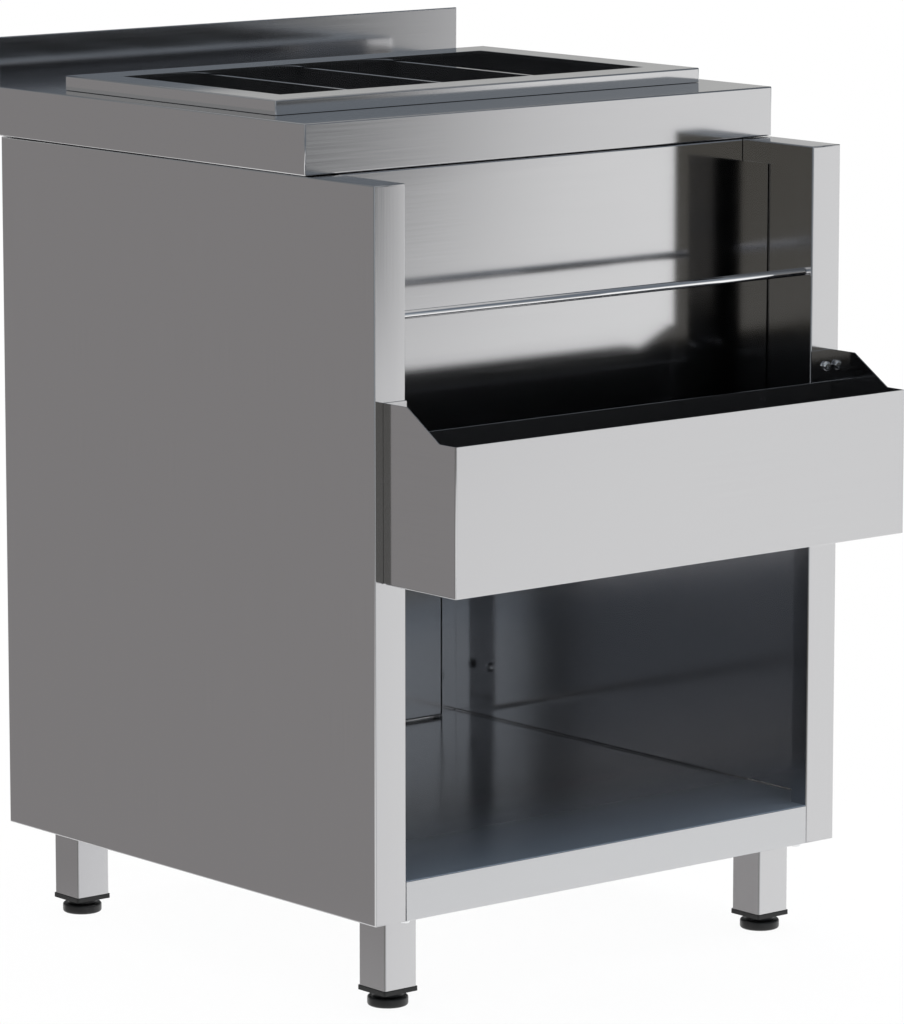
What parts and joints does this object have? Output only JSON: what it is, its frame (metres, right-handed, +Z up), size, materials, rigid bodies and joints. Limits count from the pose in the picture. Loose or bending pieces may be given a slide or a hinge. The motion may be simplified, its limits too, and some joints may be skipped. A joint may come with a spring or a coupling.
{
  "type": "waiter service station",
  "caption": "Free-standing folded stainless serving cabinet with a lift-out divided container, rear upstand, front bottle rail, cross rod, open lower shelf and levelling feet.",
  "frame": {"origin": "on the floor, under the middle of the outline's box", "axes": "+X to the right seen from the front, +Y from the bottle rail to the upstand, +Z up"},
  "size_m": [0.602, 0.7104, 0.904],
  "materials": {
    "brushed_stainless": "satin brushed stainless sheet",
    "container_stainless": "satin stainless sheet, slightly brighter grain",
    "polished_rod": "bright drawn round bar",
    "zinc_fasteners": "bright fasteners",
    "leg_cap_plastic": "black moulded plastic",
    "foot_plastic": "black moulded plastic"
  },
  "bodies": {
    "cabinet": {"left_side_panel": "brushed_stainless", "right_side_panel": "brushed_stainless", "floor_panel": "brushed_stainless", "floor_stiffener": "brushed_stainless", "back_panel": "brushed_stainless", "front_panel": "brushed_stainless", "worktop": "brushed_stainless", "worktop_bearer_left": "brushed_stainless", "worktop_bearer_right": "brushed_stainless", "bottle_rail_channel": "brushed_stainless", "bottle_rail_end_left": "brushed_stainless", "bottle_rail_end_right": "brushed_stainless", "leg_front_left": "brushed_stainless", "leg_front_right": "brushed_stainless", "leg_back_left": "brushed_stainless", "leg_back_right": "brushed_stainless", "cross_rod": "polished_rod", "rod_screw_left": "zinc_fasteners", "rail_screw_left_upper": "zinc_fasteners", "rail_screw_left_lower": "zinc_fasteners", "back_panel_screw_left_lower": "zinc_fasteners", "back_panel_screw_left_upper": "zinc_fasteners", "worktop_screw_left_front": "zinc_fasteners", "worktop_screw_left_back": "zinc_fasteners", "plinth_screw_left": "zinc_fasteners", "rod_screw_right": "zinc_fasteners", "rail_screw_right_upper": "zinc_fasteners", "rail_screw_right_lower": "zinc_fasteners", "back_panel_screw_right_lower": "zinc_fasteners", "back_panel_screw_right_upper": "zinc_fasteners", "worktop_screw_right_front": "zinc_fasteners", "worktop_screw_right_back": "zinc_fasteners", "plinth_screw_right": "zinc_fasteners", "leg_nut_front_left_outer": "zinc_fasteners", "leg_nut_front_left_inner": "zinc_fasteners", "leg_nut_front_right_outer": "zinc_fasteners", "leg_nut_front_right_inner": "zinc_fasteners", "leg_nut_back_left_outer": "zinc_fasteners", "leg_nut_back_left_inner": "zinc_fasteners", "leg_nut_back_right_outer": "zinc_fasteners", "leg_nut_back_right_inner": "zinc_fasteners", "leg_cap_front_left": "leg_cap_plastic", "leg_cap_front_right": "leg_cap_plastic", "leg_cap_back_left": "leg_cap_plastic", "leg_cap_back_right": "leg_cap_plastic"},
    "container": {"container_frame": "container_stainless", "container_tray": "container_stainless", "container_divider_1": "container_stainless", "container_divider_2": "container_stainless", "container_divider_3": "container_stainless"},
    "foot_front_left": {"foot_front_left": "foot_plastic"},
    "foot_front_right": {"foot_front_right": "foot_plastic"},
    "foot_back_left": {"foot_back_left": "foot_plastic"},
    "foot_back_right": {"foot_back_right": "foot_plastic"}
  },
  "joints": [
    {"name": "container_lift", "type": "slide", "parent": "cabinet", "child": "container", "axis": [0, 0, 1], "range_m": [0, 0.18]},
    {"name": "foot_front_left_height", "type": "slide", "parent": "cabinet", "child": "foot_front_left", "axis": [0, 0, -1], "range_m": [0, 0.02]},
    {"name": "foot_front_right_height", "type": "slide", "parent": "cabinet", "child": "foot_front_right", "axis": [0, 0, -1], "range_m": [0, 0.02]},
    {"name": "foot_back_left_height", "type": "slide", "parent": "cabinet", "child": "foot_back_left", "axis": [0, 0, -1], "range_m": [0, 0.02]},
    {"name": "foot_back_right_height", "type": "slide", "parent": "cabinet", "child": "foot_back_right", "axis": [0, 0, -1], "range_m": [0, 0.02]}
  ]
}
